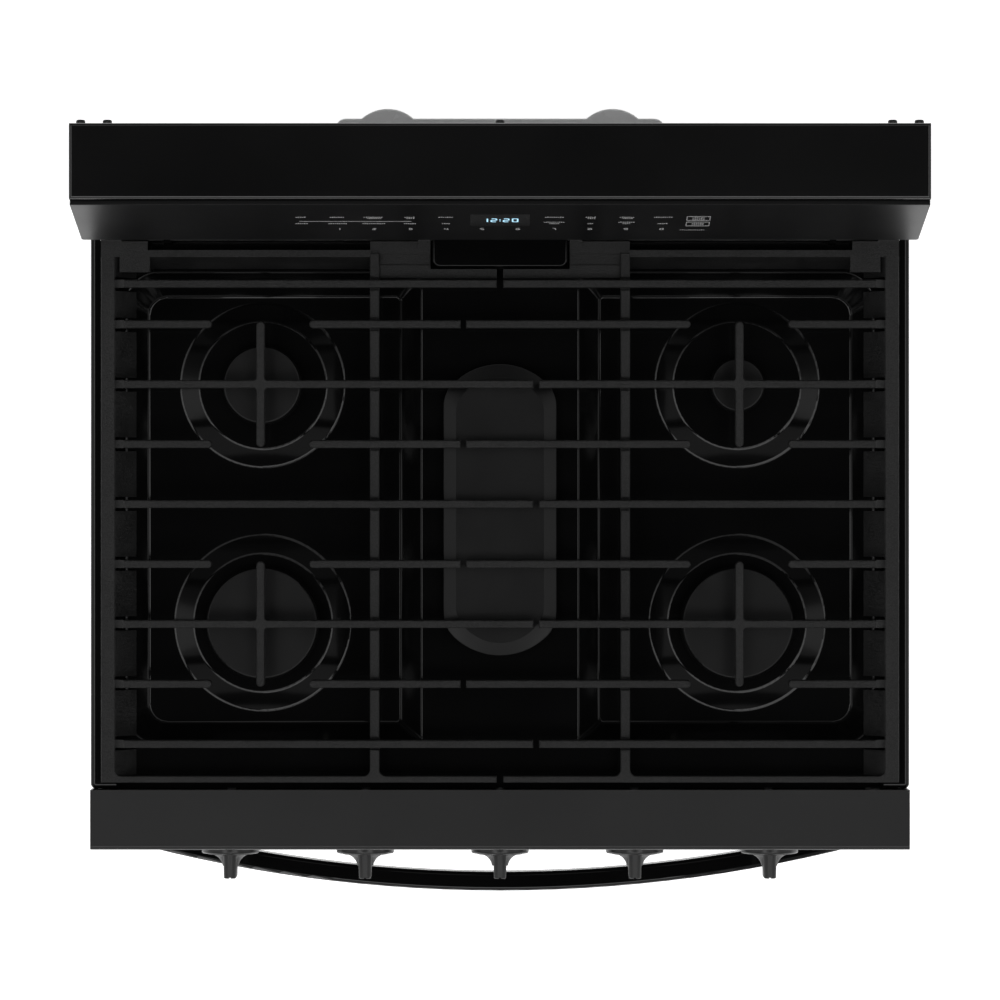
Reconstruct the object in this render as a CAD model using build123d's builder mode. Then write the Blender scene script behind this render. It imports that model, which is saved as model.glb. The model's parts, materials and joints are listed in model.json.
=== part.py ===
from build123d import *
from math import atan2, cos, degrees, hypot, radians, sin
import os

os.makedirs("parts", exist_ok=True)

# Freestanding gas range, 30 inch class. +Z up, front towards -Y, origin on the floor
# under the middle of the body.

# Overall
half_width = 379.4
overall_height = 1190.6
cooktop_height = 914.4
rear_y = 338.8
frame_front = -275.0
sheet = 1.5
floor_gap = 32.0

# Cooktop pan
pan_half = 379.9
pan_front = -260.5
pan_rear = 300.0
pan_skirt_bottom = 866.0
ledge_z = 900.0
well_z = 880.0
mound_z = 886.0
flange_width = 10.0
well_x = (73.2, 347.0)
well_y = (-219.0, 219.0)
well_floor_x = (92.3, 327.9)
well_floor_y = (-200.8, 197.2)
vent_boss_x = (143.0, 299.0)

# Burners: x, y, cap radius, mound foot radius, mound top radius
burner_x = 221.2
rear_burner_y = 114.3
front_burner_y = -107.3
cap_top = 905.0
cap_thickness = 6.0
round_burners = {
    "rear_left": (-burner_x, rear_burner_y, 36.5, 76.5, 59.5),
    "rear_right": (burner_x, rear_burner_y, 25.0, 76.5, 59.5),
    "front_left": (-burner_x, front_burner_y, 52.2, 82.0, 64.5),
    "front_right": (burner_x, front_burner_y, 52.2, 82.0, 64.5),
}
oval_width = 104.5
oval_length = 270.0
oval_y = -1.9
oval_top = 919.0

# Grates
bar_top = 940.0
bar_width = 7.4
bar_depth = 13.0
frame_top = 930.0
frame_depth = 14.0
bar_pitch = 55.4
bar_ys = [207.1] + [rear_burner_y + bar_pitch * (1 - n) for n in range(8)]
finger_stop = 45.0
cross_half = 58.0
cross_width = 7.8
rail_x = 116.0
rail_width = 8.9
side_frame_x = (356.1, 369.1)
front_bar_y = (-254.2, -248.1)
pivot_y = 250.0
pivot_z = 924.0
rod_radius = 3.0
lug_radius = 7.0
running_gap = 0.05

# Oven
oven_half = 310.0
oven_z = (262.0, 742.0)
oven_y = (-272.0, 210.0)
insulation_thickness = 30.0
shelf_levels = [360.0, 430.0, 500.0, 570.0, 640.0]
rack_levels = [360.0, 570.0]
fan_z = 480.0
fan_radius = 75.0

# Door and drawer
door_half = 378.4
door_z = (212.0, 808.0)
door_front = -317.0
glass_thickness = 5.0
inner_panel_y = (-284.0, -281.0)
window_half = 235.0
window_z = (390.0, 660.0)
hinge_y = -277.0
hinge_z = 242.0
hinge_x = 300.0
drawer_z = (34.0, 196.0)
drawer_half = 328.0
drawer_box_z = (46.0, 150.0)
drawer_rear = 200.0
handle_z = 768.0
handle_height = 30.0
handle_front = -364.5
handle_radius = 1368.0
handle_thickness = 18.0
handle_half = 345.0

# Control panel and knobs
panel_half = 379.9
panel_front = -317.1
panel_rear = -261.5
panel_z = (818.0, 920.0)
knob_z = 868.0
knob_xs = [-252.0, -126.0, 0.0, 126.0, 252.0]
knob_base = -320.8
knob_tip = -346.1
knob_radius = 21.0
blade_reach = 19.6
bezel_radius = 27.0
stem_radius = 3.0
manifold_y = -281.0
manifold_radius = 9.0
tube_z = 846.0
tube_radius = 4.0

# Backguard
lip_y = 271.8
glass_top = (267.2, 1181.0)
glass_bottom = (243.0, 1033.0)
touch_thickness = 4.5
guard_bottom = 1020.0
slope_length = hypot(glass_top[0] - glass_bottom[0], glass_top[1] - glass_bottom[1])
slope_y = (glass_top[0] - glass_bottom[0]) / slope_length
slope_z = (glass_top[1] - glass_bottom[1]) / slope_length

# Gas inlet
inlet_x = 250.0
inlet_z = 180.0
inlet_bore = 9.5
inlet_depth = 14.0


def block(x, y, z, mode=Mode.ADD):
    with Locations(((x[0] + x[1]) / 2, (y[0] + y[1]) / 2, (z[0] + z[1]) / 2)):
        Box(x[1] - x[0], y[1] - y[0], z[1] - z[0], mode=mode)


def span(side, near, far):
    return (near, far) if side > 0 else (-far, -near)


def rod(start, direction, length, radius, mode=Mode.ADD):
    with BuildSketch(Plane(origin=start, z_dir=direction)) as disc:
        Circle(radius)
    extrude(disc.sketch, amount=length, mode=mode)


def pipe(points, radii, radius):
    with BuildLine() as path:
        FilletPolyline(*points, radius=radii)
    with BuildSketch(Plane(origin=path.line @ 0, z_dir=path.line % 0)) as section:
        Circle(radius)
    sweep(section.sketch, path=path.line)


def save(piece, label):
    piece.part.label = label
    export_step(piece.part, "parts/" + label + ".step")


# ---- Body sheet metal ----

for side, name in ((-1, "left"), (1, "right")):
    with BuildPart() as side_panel:
        block(span(side, 376.4, 377.9), (-271.0, 337.0), (60.0, 864.0))
        block(span(side, 358.0, 376.4), (-271.0, -269.5), (252.0, 864.0))
        block(span(side, 358.0, 376.4), (335.5, 337.0), (60.0, 864.0))
        block(span(side, 350.0, 376.4), (-240.0, 335.5), (60.0, 61.5))
        for rib_y in (-120.0, 40.0, 200.0):
            block(span(side, 373.4, 376.4), (rib_y - 14, rib_y + 14), (240.0, 800.0))
        block(span(side, 370.0, 380.0), (-280.0, -245.0), (188.0, 252.0), mode=Mode.SUBTRACT)
    save(side_panel, "side_panel_" + name)

with BuildPart() as back_panel:
    block((-376.0, 376.0), (337.3, rear_y), (62.0, 898.0))
    with BuildSketch(Plane.XZ.offset(-330.0)):
        with Locations((inlet_x, inlet_z)):
            Circle(24.0)
        with GridLocations(26.0, 0, 11, 1):
            with Locations((0, 300.0), (0, 420.0)):
                SlotOverall(60.0, 7.0, rotation=90)
        with Locations((-300.0, 120.0)):
            Circle(11.0)
    extrude(amount=-20, mode=Mode.SUBTRACT)
save(back_panel, "back_panel")

cover_half = 150.5
bulge_x = 102.6
bulge_radius = 36.0
cover_z = (560.0, 1000.0)


def cover_outline(inset):
    # Flat plate with two round vertical bulges, seen from above
    with BuildSketch(Plane.XY.offset(cover_z[0] + inset)) as outline:
        with Locations((0, 330.0)):
            RectangleRounded(2 * (cover_half - inset), 2 * (25.6 - inset), 10.0 - inset)
        with Locations((-bulge_x, 328.5), (bulge_x, 328.5)):
            Circle(bulge_radius - inset)
    return outline.sketch


with BuildPart() as rear_flue_cover:
    extrude(cover_outline(0), amount=cover_z[1] - cover_z[0])
    fillet(rear_flue_cover.edges().group_by(Axis.Z)[-1], 3.0)
    extrude(cover_outline(1.2), amount=cover_z[1] - cover_z[0] - 2.4, mode=Mode.SUBTRACT)
    block((-200, 200), (280.0, rear_y), (500.0, 1050.0), mode=Mode.SUBTRACT)
    for lug_x in (-1, 1):
        block(span(lug_x, cover_half - 2, cover_half + 14), (rear_y, rear_y + 1.5), (760.0, 790.0))
save(rear_flue_cover, "rear_flue_cover")

with BuildPart() as base_rails:
    for side in (-1, 1):
        block(span(side, 345.0, 375.0), (-262.0, 334.0), (floor_gap, floor_gap + 2.0))
        block(span(side, 373.0, 375.0), (-262.0, 334.0), (floor_gap, 58.0))
    block((-375.0, 375.0), (304.0, 334.0), (floor_gap, floor_gap + 2.0))
    block((-375.0, 375.0), (332.0, 334.0), (floor_gap, 58.0))
    block((-375.0, 375.0), (-262.0, -232.0), (floor_gap, floor_gap + 2.0))
save(base_rails, "base_rails")

with BuildPart() as leveling_feet:
    with Locations(*[(x, y, 0) for x in (-352.0, 352.0) for y in (-240.0, 310.0)]):
        Cone(18.0, 16.0, 8.0, align=(Align.CENTER, Align.CENTER, Align.MIN))
        Cylinder(5.0, floor_gap, align=(Align.CENTER, Align.CENTER, Align.MIN))
    with BuildSketch(Plane.XY.offset(16.0)):
        with GridLocations(704.0, 550.0, 2, 2):
            with Locations((0, 35.0)):
                RegularPolygon(9.5, 6)
    extrude(amount=6.0)
save(leveling_feet, "leveling_feet")

with BuildPart() as drawer_slides:
    for side in (-1, 1):
        block(span(side, 331.0, 376.2), (-230.0, 300.0), (84.0, 86.0))
        block(span(side, 331.0, 333.0), (-230.0, 300.0), (86.0, 108.0))
        block(span(side, 333.0, 342.0), (-230.0, 300.0), (106.0, 108.0))
save(drawer_slides, "drawer_slides")

with BuildPart() as oven_front_frame:
    block((-375.5, 375.5), (frame_front, frame_front + 3.0), (251.0, 826.0))
    block((-oven_half, oven_half), (-280, -260), oven_z, mode=Mode.SUBTRACT)
    fillet(oven_front_frame.edges().filter_by(Axis.Y).filter_by_position(Axis.X, -311, 311), 14.0)
    block((-356.0, 356.0), (frame_front + 3.0, -240.0), (824.0, 826.0))
    for side in (-1, 1):
        block(span(side, 352.0, 355.0), (frame_front + 3.0, -244.0), (251.0, 824.0))
    block((-355.0, 355.0), (-244.0, -241.0), (200.0, 251.0))
    block((-355.0, 355.0), (frame_front + 3.0, -241.0), (251.0, 253.0))
save(oven_front_frame, "oven_front_frame")

# ---- Oven ----

liner_wall = 1.5
with BuildPart() as oven_liner:
    block((-oven_half - liner_wall, oven_half + liner_wall), (oven_y[0], oven_y[1] + liner_wall),
          (oven_z[0] - liner_wall, oven_z[1] + liner_wall))
    fillet(oven_liner.edges().filter_by(Axis.Y), 15.5)
    with BuildSketch(Plane.XZ.offset(-oven_y[1])):
        with Locations((0, (oven_z[0] + oven_z[1]) / 2)):
            RectangleRounded(2 * oven_half, oven_z[1] - oven_z[0], 14.0)
    extrude(amount=oven_y[1] - oven_y[0] + 5, mode=Mode.SUBTRACT)
    rod((0, 230, fan_z), (0, -1, 0), 40, 7.0, mode=Mode.SUBTRACT)
    rod((240, 230, 690), (0, -1, 0), 40, 14.0, mode=Mode.SUBTRACT)
save(oven_liner, "oven_liner")

with BuildPart() as oven_insulation:
    reach = oven_half + liner_wall + insulation_thickness
    block((-reach, reach), (-240.0, oven_y[1] + liner_wall + insulation_thickness),
          (oven_z[0] - liner_wall - insulation_thickness + 4, oven_z[1] + liner_wall + insulation_thickness))
    fillet(oven_insulation.edges().filter_by(Axis.Y), 20.0)
    block((-oven_half - liner_wall, oven_half + liner_wall), (-250.0, oven_y[1] + liner_wall),
          (oven_z[0] - liner_wall, oven_z[1] + liner_wall), mode=Mode.SUBTRACT)
    rod((0, 260, fan_z), (0, -1, 0), 80, 9.0, mode=Mode.SUBTRACT)
    rod((240, 260, 690), (0, -1, 0), 80, 20.0, mode=Mode.SUBTRACT)
save(oven_insulation, "oven_insulation")

with BuildPart() as oven_floor_panel:
    block((-300.0, 300.0), (-262.0, 200.0), (292.0, 293.5))
    block((-294.0, 294.0), (-262.0, -260.5), (263.0, 292.0))
    for side in (-1, 1):
        block(span(side, 298.5, 300.0), (-240.0, 190.0), (276.0, 292.0))
    with BuildSketch(Plane.XY.offset(280.0)):
        for side in (-1, 1):
            with Locations((side * 270.0, -30.0)):
                with GridLocations(0, 60.0, 1, 6):
                    SlotOverall(40.0, 8.0, rotation=90)
    extrude(amount=30, mode=Mode.SUBTRACT)
save(oven_floor_panel, "oven_floor_panel")

with BuildPart() as bake_burner:
    pipe([(0, 200, 276), (0, 150, 276), (-190, 150, 276), (-190, -190, 276), (190, -190, 276),
          (190, 140, 276)], 40.0, 8.0)
    block((-30.0, 30.0), (190.0, 203.0), (264.0, 286.0))
save(bake_burner, "bake_burner")

with BuildPart() as broil_burner:
    pipe([(60, 200, 714), (60, 150, 714), (-150, 150, 714), (-150, -150, 714), (150, -150, 714),
          (150, 130, 714)], 40.0, 8.0)
    block((-190.0, 190.0), (-190.0, 180.0), (738.0, 739.5))
    for hang_x in (-150.0, 150.0):
        block((hang_x - 2, hang_x + 2), (-10.0, 10.0), (716.0, 742.0))
save(broil_burner, "broil_burner")

guide_wire = 2.5
with BuildPart() as rack_guides:
    for side in (-1, 1):
        wire_x = side * (oven_half - 6.5)
        for level in shelf_levels:
            rod((wire_x, -230, level - 5.2), (0, 1, 0), 400, guide_wire)
            rod((wire_x, -230, level + 22), (0, 1, 0), 400, guide_wire)
        for post_y in (-229.0, -30.0, 169.0):
            block(span(side, oven_half - 6.0, oven_half - 0.5), (post_y - 3, post_y + 3), (322.0, 690.0))
save(rack_guides, "rack_guides")

rack_half = 300.0
rack_y = (-238.0, 165.0)
with BuildPart() as oven_racks:
    for level in rack_levels:
        deck = level + 1.0
        for edge_y in rack_y:
            rod((-rack_half, edge_y, deck), (1, 0, 0), 2 * rack_half, 3.5)
        for side in (-1, 1):
            rod((side * rack_half, rack_y[0], deck), (0, 1, 0), rack_y[1] - rack_y[0], 3.5)
        rod((-rack_half, -40, deck), (1, 0, 0), 2 * rack_half, 3.0)
        for wire in range(21):
            wire_x = (wire - 10) * 27.0
            rod((wire_x, rack_y[0], deck + 3.0), (0, 1, 0), rack_y[1] - rack_y[0], 1.9)
        with Locations(*[(x, y, deck) for x in (-rack_half, rack_half) for y in rack_y]):
            Sphere(3.5)
save(oven_racks, "oven_racks")

baffle_half = 120.0
with BuildPart() as convection_baffle:
    block((-baffle_half, baffle_half), (178.0, oven_y[1]), (fan_z - baffle_half, fan_z + baffle_half))
    fillet(convection_baffle.edges().filter_by(Axis.Y), 20.0)
    fillet(convection_baffle.faces().sort_by(Axis.Y)[0].edges(), 5.0)
    offset(amount=-1.5, openings=convection_baffle.faces().sort_by(Axis.Y)[-1])
    with BuildSketch(Plane.XZ.offset(-170.0)):
        with Locations((0, fan_z)):
            Circle(5.0)
            for ring, count in ((16.0, 8), (29.0, 14), (42.0, 20), (55.0, 26)):
                with PolarLocations(ring, count):
                    Circle(4.0)
    extrude(amount=-15, mode=Mode.SUBTRACT)
save(convection_baffle, "convection_baffle")

with BuildPart() as convection_fan:
    rod((0, 186, fan_z), (0, 1, 0), 75.0, 4.0)
    rod((0, 202, fan_z), (0, 1, 0), 2.0, fan_radius - 5)
    rod((0, 188, fan_z), (0, 1, 0), 15.0, 14.0)
    with BuildSketch(Plane.XZ.offset(-187.0)) as blades:
        with PolarLocations(0, 8):
            with Locations((0, 0)):
                with Locations((42.0, 0)):
                    Rectangle(60.0, 1.8, rotation=18.0)
    extrude(blades.sketch.moved(Location((0, 0, fan_z))), amount=-16.0)
save(convection_fan, "convection_fan")

motor_y = (242.0, 300.0)
with BuildPart() as convection_motor:
    rod((0, motor_y[0] + 2, fan_z), (0, 1, 0), motor_y[1] - motor_y[0] - 2, 34.0)
    rod((0, motor_y[0], fan_z), (0, 1, 0), 2.0, 62.0)
    with BuildSketch(Plane.XZ.offset(-motor_y[1])):
        with Locations((0, fan_z)):
            with PolarLocations(24.0, 10):
                SlotOverall(12.0, 3.5)
    extrude(amount=12.0, mode=Mode.SUBTRACT)
    rod((0, motor_y[0] - 1, fan_z), (0, 1, 0), 22.0, 4.0 + running_gap, mode=Mode.SUBTRACT)
save(convection_motor, "convection_motor")

with BuildPart() as oven_lamp:
    rod((240, oven_y[1], 690), (0, -1, 0), 8.0, 22.0)
    rod((240, 203, 690), (0, -1, 0), 22.0, 18.0)
    fillet(oven_lamp.faces().sort_by(Axis.Y)[0].edges(), 9.0)
    rod((240, 209, 690), (0, 1, 0), 36.0, 13.0)
save(oven_lamp, "oven_lamp")

# ---- Cooktop ----


def well_section(side, near_far, front_rear, height, outer_radius):
    # One well seen from above, rounded on its outer corners
    low, high = span(side, *near_far)
    with BuildSketch(Plane.XY.offset(height)) as section:
        with Locations(((low + high) / 2, sum(front_rear) / 2)):
            Rectangle(high - low, front_rear[1] - front_rear[0])
        outer = section.vertices().group_by(Axis.X)[-1 if side > 0 else 0]
        fillet(outer, outer_radius)
        inner = section.vertices().group_by(Axis.X)[0 if side > 0 else -1]
        fillet(inner, 5.0)
    return section.sketch


def cooktop_form(drop):
    # Everything under the pan's top surface; drop lowers it for the underside
    with BuildPart() as form:
        edge = pan_half - drop
        block((-edge, edge), (pan_front + drop, pan_rear - drop),
              (pan_skirt_bottom - 4 * drop, cooktop_height - drop))
        fillet(form.edges().filter_by(Axis.Z).group_by(Axis.Y)[0], 4.5 - drop)
        fillet(form.faces().sort_by(Axis.Z)[-1].edges().group_by(Axis.X)[0], 4.2 - drop)
        inner = half_width - flange_width + drop
        block((-inner, inner), (-248.0 - drop, 400.0), (ledge_z - drop, 950.0), mode=Mode.SUBTRACT)
        block((-356.0 - drop, 356.0 + drop), (-300.0, -200.0), (ledge_z - drop, 950.0),
              mode=Mode.SUBTRACT)
        for side in (-1, 1):
            upper = (well_x[0] - drop, well_x[1] + drop)
            lower = (well_floor_x[0] - drop, well_floor_x[1] + drop)
            ends = (well_y[0] - drop, well_y[1] + drop)
            floor_ends = (well_floor_y[0] - drop, well_floor_y[1] + drop)
            loft([well_section(side, lower, floor_ends, well_z - drop, 18.0),
                  well_section(side, upper, ends, ledge_z - drop, 30.0)], mode=Mode.SUBTRACT)
        rims = form.edges().filter_by_position(Axis.Z, ledge_z - drop - 0.1, ledge_z - drop + 0.1)
        fillet(rims.filter_by_position(Axis.X, -348 - drop, 348 + drop)
               .filter_by_position(Axis.Y, -222, 222), 3.0)
        floors = form.edges().filter_by_position(Axis.Z, well_z - drop - 0.1, well_z - drop + 0.1)
        fillet(floors, 4.0)
        for x, y, _, outer, inner_radius in round_burners.values():
            with Locations((x, y, (well_z + mound_z) / 2 - drop)):
                Cone(outer, inner_radius, mound_z - well_z)
        mounds = form.edges().filter_by(GeomType.CIRCLE)
        fillet(mounds.filter_by(lambda edge: edge.radius > 58), 7.0)
        for side in (-1, 1):
            block(span(side, vent_boss_x[0] + drop, vent_boss_x[1] - drop),
                  (238.0 + drop, 262.0 - drop), (ledge_z - 6, ledge_z + 6 - drop))
    return form.part


with BuildPart() as cooktop_pan:
    add(cooktop_form(0))
    add(cooktop_form(sheet), mode=Mode.SUBTRACT)
    with Locations(*[(x, y, mound_z) for x, y, *_ in round_burners.values()], (0, oval_y, ledge_z)):
        Cylinder(10.0, 12.0, mode=Mode.SUBTRACT)
save(cooktop_pan, "cooktop_pan")

riser_z = (ledge_z, guard_bottom)
with BuildPart() as vent_riser:
    block((-368.0, 368.0), (268.0, 336.0), riser_z)
    block((-366.5, 366.5), (269.5, 334.5), (riser_z[0] - 1, riser_z[1] + 1), mode=Mode.SUBTRACT)
    with BuildSketch(Plane.XZ.offset(-260.0)):
        with Locations((0, 970.0)):
            with GridLocations(24.0, 22.0, 16, 2):
                SlotOverall(14.0, 6.0, rotation=90)
    extrude(amount=-14, mode=Mode.SUBTRACT)
save(vent_riser, "vent_riser")

ear_x = (305.0, 311.0)
with BuildPart() as grate_hinge_bracket:
    block((-62.5, 62.5), (222.5, 262.0), (ledge_z, 932.0))
    fillet(grate_hinge_bracket.edges().filter_by(Axis.Z).group_by(Axis.Y)[0], 7.0)
    fillet(grate_hinge_bracket.faces().sort_by(Axis.Z)[-1].edges(), 2.0)
    with Locations((-40.0, 239.6, 932.0), (40.0, 239.6, 932.0), (0, 228.5, 932.0)):
        Cylinder(3.4, 1.6)
    for side in (-1, 1):
        block(span(side, *ear_x), (244.5, 266.0), (ledge_z, 931.0))
    rod((-320, pivot_y, pivot_z), (1, 0, 0), 640, rod_radius, mode=Mode.SUBTRACT)
save(grate_hinge_bracket, "grate_hinge_bracket")

with BuildPart() as grate_hinge_rod:
    rod((-370, pivot_y, pivot_z), (1, 0, 0), 740, rod_radius)
    chamfer(grate_hinge_rod.edges(), 0.6)
save(grate_hinge_rod, "grate_hinge_rod")

# ---- Burners ----



def oval_plan(height, inset):
    # Straight sides with wide arcs at the ends and eased corners
    side_x = oval_width / 2 - inset
    tip = oval_length / 2 - inset
    shoulder = tip - 28.5
    with BuildSketch(Plane.XY.offset(height)) as plan:
        with BuildLine():
            Line((-side_x, oval_y - shoulder), (-side_x, oval_y + shoulder))
            ThreePointArc((-side_x, oval_y + shoulder), (0, oval_y + tip), (side_x, oval_y + shoulder))
            Line((side_x, oval_y + shoulder), (side_x, oval_y - shoulder))
            ThreePointArc((side_x, oval_y - shoulder), (0, oval_y - tip), (-side_x, oval_y - shoulder))
        make_face()
        fillet(plan.vertices(), 30.0 - inset)
    return plan.sketch


with BuildPart() as burner_heads:
    for x, y, cap, *_ in round_burners.values():
        with Locations((x, y, 0)):
            with Locations((0, 0, mound_z)):
                Cylinder(cap - 1.5, 5.0, align=(Align.CENTER, Align.CENTER, Align.MIN))
            with Locations((0, 0, mound_z + 5)):
                Cone(cap - 1.5, cap - 6, 3.0, align=(Align.CENTER, Align.CENTER, Align.MIN))
            with Locations((0, 0, mound_z + 8)):
                Cylinder(cap - 4, cap_top - cap_thickness - mound_z - 8,
                         align=(Align.CENTER, Align.CENTER, Align.MIN))
            with Locations((0, 0, 862.0)):
                Cylinder(9.5, mound_z - 861, align=(Align.CENTER, Align.CENTER, Align.MIN))
        slots = round(cap * 0.7)
        with Locations((x, y, mound_z + 10.0)):
            with PolarLocations(cap - 6, slots):
                Box(9.0, 1.8, 3.0, mode=Mode.SUBTRACT)
    extrude(oval_plan(ledge_z, 4.0), amount=oval_top - 7 - ledge_z)
    for side in (-1, 1):
        with Locations((side * (oval_width / 2 - 5), oval_y, 907.0)):
            with GridLocations(0, 9.0, 1, 18):
                Box(9.0, 2.0, 4.5, mode=Mode.SUBTRACT)
    with Locations((0, oval_y, 892.0)):
        Cylinder(9.5, 10.0, align=(Align.CENTER, Align.CENTER, Align.MIN))
save(burner_heads, "burner_heads")


def round_cap(name):
    x, y, radius, *_ = round_burners[name]
    with BuildPart() as cap:
        rod((x, y, cap_top - cap_thickness), (0, 0, 1), cap_thickness, radius)
        fillet(cap.edges().group_by(Axis.Z)[-1], 2.4)
        fillet(cap.edges().group_by(Axis.Z)[0], 1.0)
    return cap


save(round_cap("rear_left"), "burner_cap_rear_left")
save(round_cap("rear_right"), "burner_cap_rear_right")
with BuildPart() as burner_caps_front:
    add(round_cap("front_left").part)
    add(round_cap("front_right").part)
save(burner_caps_front, "burner_caps_front")

with BuildPart() as burner_cap_center:
    extrude(oval_plan(oval_top - 7, 0), amount=4.0)
    loft([oval_plan(oval_top - 3, 0.5), oval_plan(oval_top, 11.5)])
save(burner_cap_center, "burner_cap_center")

with BuildPart() as igniters:
    for x, y, cap, *_ in round_burners.values():
        inward = -1 if x > 0 else 1
        base_x = x + inward * (cap + 3.6)
        rod((base_x, y, mound_z), (0, 0, 1), 8.0, 2.8)
        rod((base_x, y, mound_z + 8), (0, 0, 1), 4.0, 1.0)
    rod((56.5, 3.5, ledge_z), (0, 0, 1), 9.0, 2.8)
    rod((56.5, 3.5, ledge_z + 9), (0, 0, 1), 3.0, 1.0)
save(igniters, "igniters")

feeds = {
    -252.0: [(-252, front_burner_y), (-burner_x, front_burner_y)],
    -126.0: [(-126, rear_burner_y), (-burner_x, rear_burner_y)],
    126.0: [(126, rear_burner_y), (burner_x, rear_burner_y)],
    252.0: [(252, front_burner_y), (burner_x, front_burner_y)],
}
valve_y = (-312.0, -290.0)
with BuildPart() as gas_tubes:
    for start_x, ends in feeds.items():
        route = [(start_x, -301, 855), (start_x, -301, tube_z)]
        route += [(x, y, tube_z) for x, y in ends]
        pipe(route, 8.0, tube_radius)
        x, y = ends[-1]
        rod((x, y, tube_z - 8), (0, 0, 1), 862.0 - tube_z + 8, 15.0)
    pipe([(0, -301, 855), (0, -301, tube_z), (0, oval_y, tube_z), (0, oval_y, 862)], 8.0, tube_radius)
    rod((0, oval_y, 862), (0, 0, 1), 30.0, 15.0)
save(gas_tubes, "gas_tubes")

with BuildPart() as gas_manifold:
    rod((-300, manifold_y, knob_z), (1, 0, 0), 660, manifold_radius)
    pipe([(inlet_x, 305, 206), (inlet_x, 305, 228), (350, 305, 228), (350, 305, tube_z),
          (350, manifold_y, tube_z), (350, manifold_y, knob_z - 4)], 10.0, 7.0)
    for x in (-200.0, 0.0, 200.0):
        block((x + 20, x + 36), (manifold_y - 6, frame_front + 3), (826.0, 862.0))
save(gas_manifold, "gas_manifold")

with BuildPart() as gas_valves:
    for x in knob_xs:
        block((x - 10, x + 10), valve_y, (knob_z - 12, knob_z + 12))
        rod((x, valve_y[0], knob_z), (0, -1, 0), 2.5, 9.0)
        rod((x, -301, 855), (0, 0, 1), 4.0, 6.0)
        rod((x, valve_y[0] - 3, knob_z), (0, 1, 0), 17.5, stem_radius + running_gap, mode=Mode.SUBTRACT)
    fillet(gas_valves.edges().filter_by(Axis.Z), 3.0)
save(gas_valves, "gas_valves")

with BuildPart() as pressure_regulator:
    block((inlet_x - 26, inlet_x + 26), (284.0, 326.0), (inlet_z - 26, inlet_z + 26))
    fillet(pressure_regulator.edges().filter_by(Axis.Y), 12.0)
    rod((inlet_x, 300, inlet_z), (0, 1, 0), 56.0, 15.0)
    rod((inlet_x, 305, inlet_z), (0, 0, 1), 26.0, 12.0)
    rod((inlet_x, 290, inlet_z), (0, -1, 0), 18.0, 16.0)
    rod((inlet_x, 356, inlet_z), (0, -1, 0), inlet_depth, inlet_bore, mode=Mode.SUBTRACT)
save(pressure_regulator, "pressure_regulator")

# ---- Control panel ----

with BuildPart() as control_panel:
    block((-panel_half, panel_half), (panel_front, panel_rear), panel_z)
    fillet(control_panel.edges().filter_by(Axis.X).group_by(Axis.Y)[0], 3.5)
    block((-panel_half + 1.5, panel_half - 1.5), (panel_front + 1.5, panel_rear + 10),
          (panel_z[0] - 10, panel_z[1] - 1.5), mode=Mode.SUBTRACT)
    block((-panel_half + 1.5, panel_half - 1.5), (panel_front + 1.5, -300.0),
          (panel_z[0], panel_z[0] + 1.5))
    with BuildSketch(Plane.XZ.offset(310.0)):
        with Locations(*[(x, knob_z) for x in knob_xs]):
            Circle(5.0)
    extrude(amount=10.0, mode=Mode.SUBTRACT)
save(control_panel, "control_panel")

with BuildPart() as knob_bezels:
    for x in knob_xs:
        rod((x, panel_front, knob_z), (0, -1, 0), 6.0, bezel_radius)
    fillet(knob_bezels.edges().group_by(Axis.Y)[0], 2.0)
    for x in knob_xs:
        rod((x, panel_front + 1, knob_z), (0, -1, 0), 10.0, bezel_radius - 4.5, mode=Mode.SUBTRACT)
save(knob_bezels, "knob_bezels")

for number, x in enumerate(knob_xs, start=1):
    with BuildPart() as valve_stem:
        rod((x, -298.0, knob_z), (0, -1, 0), 34.0, stem_radius)
        chamfer(valve_stem.edges(), 0.5)
        block((x - 4, x + 4), (-333.0, -322.0), (knob_z + 2.2, knob_z + 4), mode=Mode.SUBTRACT)
    save(valve_stem, "valve_stem_" + str(number))
    with BuildPart() as knob:
        with BuildSketch(Plane.XY.offset(knob_z)):
            with BuildLine():
                Polyline((x, knob_base - 14), (x, knob_base), (x + knob_radius, knob_base),
                         (x + knob_radius, knob_base - 3.2))
                ThreePointArc((x + knob_radius, knob_base - 3.2), (x + 12.0, knob_base - 6.0),
                              (x + 7.5, knob_base - 14))
                Line((x + 7.5, knob_base - 14), (x, knob_base - 14))
            make_face()
        revolve(axis=Axis((x, 0, knob_z), (0, 1, 0)))
        blade_face = Plane(origin=(x, knob_base - 3, knob_z), x_dir=(1, 0, 0), z_dir=(0, -1, 0))
        with BuildSketch(blade_face):
            RectangleRounded(12.5, 2 * blade_reach, 5.5)
        extrude(amount=knob_base - 3 - knob_tip, taper=1.5)
        fillet(knob.edges().group_by(Axis.Y)[0], 1.2)
        block((x - 0.9, x + 0.9), (knob_tip - 1, knob_tip + 1.2), (knob_z + 4, knob_z + 30),
              mode=Mode.SUBTRACT)
        rod((x, knob_base + 1, knob_z), (0, -1, 0), 16.5, stem_radius + running_gap, mode=Mode.SUBTRACT)
    save(knob, "knob_" + str(number))

# ---- Backguard ----

face_back_top = (glass_top[0] + touch_thickness * slope_z, glass_top[1] - touch_thickness * slope_y)
face_back_bottom = (glass_bottom[0] + touch_thickness * slope_z,
                    glass_bottom[1] - touch_thickness * slope_y)
touch_plane = Plane(origin=(0, (glass_top[0] + glass_bottom[0]) / 2, (glass_top[1] + glass_bottom[1]) / 2),
                    x_dir=(1, 0, 0), z_dir=(0, -slope_z, slope_y))

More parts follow.
